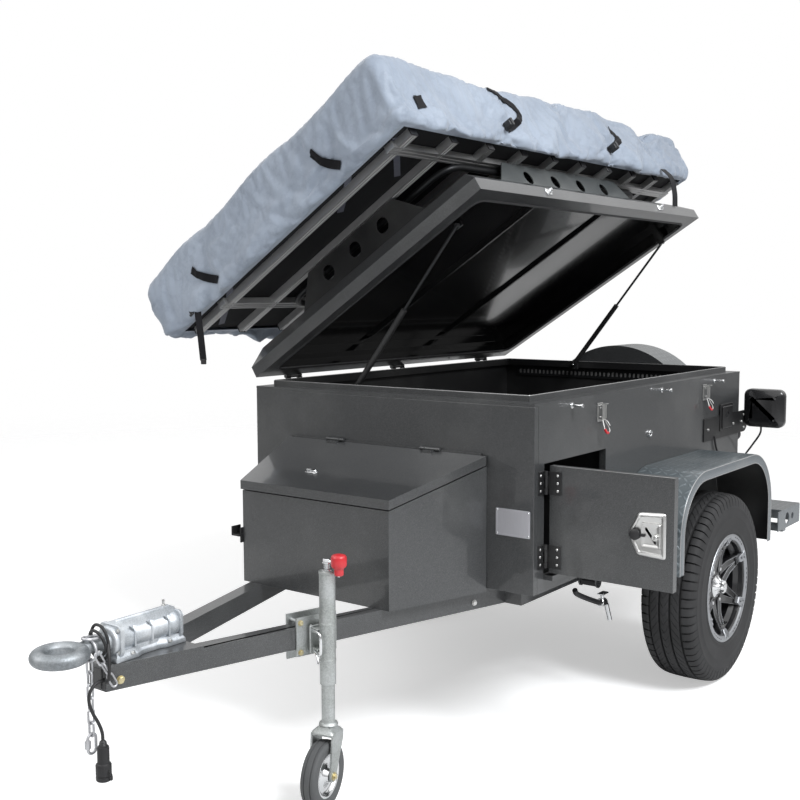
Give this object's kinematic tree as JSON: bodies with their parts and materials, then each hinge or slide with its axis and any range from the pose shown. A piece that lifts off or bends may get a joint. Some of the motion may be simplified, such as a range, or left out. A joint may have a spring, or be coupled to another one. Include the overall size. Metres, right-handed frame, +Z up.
{
  "type": "box camper trailer",
  "caption": "Off-road box trailer with a side-hinged lid standing open under a packed roof tent, a side door, a toolbox on the drawbar, sprung axle, spare wheel and folding jockey wheel.",
  "frame": {"origin": "on the ground, under the middle of the trailer's overall box, as it stands with its lid and side door open", "axes": "+Z up, -Y the towing end, +X the trailer's left side, where the side door is"},
  "size_m": [1.9954, 3.4765, 2.232],
  "materials": {
    "grey_paint": "gloss metallic grey",
    "black_paint": "satin black",
    "galvanised": "dull galvanised",
    "axle_steel": "matt black",
    "alloy": "black alloy with a bright lip",
    "tyre": "ribbed rubber",
    "grey_rubber": "grey rubber",
    "black_plastic": "moulded black plastic",
    "tent_fabric": "grey-blue coated fabric",
    "tent_aluminium": "mill aluminium",
    "strut_steel": "gloss black"
  },
  "bodies": {
    "chassis": {"chassis_frame": "grey_paint", "drawbar": "grey_paint", "coupling": "galvanised", "tow_ring": "galvanised", "safety_chain": "galvanised", "trailer_cable": "black_plastic", "cable_plug": "black_plastic", "jockey_bracket": "galvanised", "axle": "axle_steel", "leaf_springs": "axle_steel", "mudguard_left": "grey_paint", "mudguard_right": "grey_paint", "box_floor": "black_paint", "front_wall": "grey_paint", "rear_wall": "grey_paint", "left_wall": "grey_paint", "right_wall": "grey_paint", "top_flange": "grey_paint", "front_locker": "black_paint", "toolbox": "grey_paint", "lamp_brackets": "black_paint", "tail_lamps": "black_plastic", "rear_steps": "grey_paint", "spare_cover": "grey_paint", "spare_tyre": "tyre", "spare_rim": "alloy"},
    "lid": {"lid_panel": "grey_paint", "tent_brackets": "black_paint", "tent_frame": "tent_aluminium", "tent_base": "black_plastic", "tent_cover": "tent_fabric"},
    "side_door": {"side_door": "grey_paint"},
    "toolbox_lid": {"toolbox_lid": "grey_paint"},
    "front_strut_tube": {"front_strut_tube": "strut_steel"},
    "front_strut_rod": {"front_strut_rod": "strut_steel"},
    "rear_strut_tube": {"rear_strut_tube": "strut_steel"},
    "rear_strut_rod": {"rear_strut_rod": "strut_steel"},
    "wheel_left": {"tyre_left": "tyre", "rim_left": "alloy"},
    "wheel_right": {"tyre_right": "tyre", "rim_right": "alloy"},
    "mast": {"jockey_mast": "galvanised"},
    "stem": {"jockey_stem": "galvanised"},
    "fork": {"jockey_fork": "galvanised"},
    "jockey_wheel": {"jockey_tyre": "grey_rubber", "jockey_rim": "galvanised"}
  },
  "joints": [
    {"name": "wheel_left_spin", "type": "hinge", "parent": "chassis", "child": "wheel_left", "pos_m": [0.68626, 0.78125, 0.3668], "axis": [1, 0, 0], "continuous": true},
    {"name": "wheel_right_spin", "type": "hinge", "parent": "chassis", "child": "wheel_right", "pos_m": [-0.79474, 0.78125, 0.3668], "axis": [1, 0, 0], "continuous": true},
    {"name": "lid_hinge", "type": "hinge", "parent": "chassis", "child": "lid", "pos_m": [-0.67324, 0.58825, 1.185], "axis": [0, -1, 0], "range_deg": [-32.7, 0]},
    {"name": "front_strut_swing", "type": "hinge", "parent": "chassis", "child": "front_strut_tube", "pos_m": [-0.23424, -0.23975, 1.165], "axis": [0, -1, 0], "range_deg": [-51.54, 0]},
    {"name": "front_strut_slide", "type": "slide", "parent": "front_strut_tube", "child": "front_strut_rod", "axis": [0.6142, 0, 0.7891], "range_m": [-0.12158, 0]},
    {"name": "rear_strut_swing", "type": "hinge", "parent": "chassis", "child": "rear_strut_tube", "pos_m": [-0.23424, 1.41625, 1.165], "axis": [0, -1, 0], "range_deg": [-51.54, 0]},
    {"name": "rear_strut_slide", "type": "slide", "parent": "rear_strut_tube", "child": "rear_strut_rod", "axis": [0.6142, 0, 0.7891], "range_m": [-0.12158, 0]},
    {"name": "side_door_hinge", "type": "hinge", "parent": "chassis", "child": "side_door", "pos_m": [0.56476, -0.25075, 0.7805], "axis": [0, 0, 1], "range_deg": [-75, 90]},
    {"name": "toolbox_lid_hinge", "type": "hinge", "parent": "chassis", "child": "toolbox_lid", "pos_m": [-0.05424, -0.32075, 0.98565], "axis": [-1, 0, 0], "range_deg": [0, 70]},
    {"name": "jockey_fold", "type": "hinge", "parent": "chassis", "child": "mast", "pos_m": [0.22646, -0.93775, 0.49], "axis": [-0.9598, 0.2807, 0], "range_deg": [0, 90]},
    {"name": "jockey_raise", "type": "slide", "parent": "mast", "child": "stem", "axis": [0, 0, -1], "range_m": [-0.11, 0.09]},
    {"name": "jockey_castor", "type": "hinge", "parent": "stem", "child": "fork", "pos_m": [0.22646, -0.93775, 0.23], "axis": [0, 0, 1], "continuous": true},
    {"name": "jockey_wheel_spin", "type": "hinge", "parent": "fork", "child": "jockey_wheel", "pos_m": [0.23546, -0.97672, 0.1], "axis": [0.9744, 0.225, 0], "continuous": true}
  ],
  "couplings": [
    {"joint": "front_strut_swing", "follows": "lid_hinge", "ratio": 1.5759},
    {"joint": "front_strut_slide", "follows": "lid_hinge", "m_per_rad": 0.21268},
    {"joint": "rear_strut_swing", "follows": "lid_hinge", "ratio": 1.5759},
    {"joint": "rear_strut_slide", "follows": "lid_hinge", "m_per_rad": 0.21268}
  ]
}
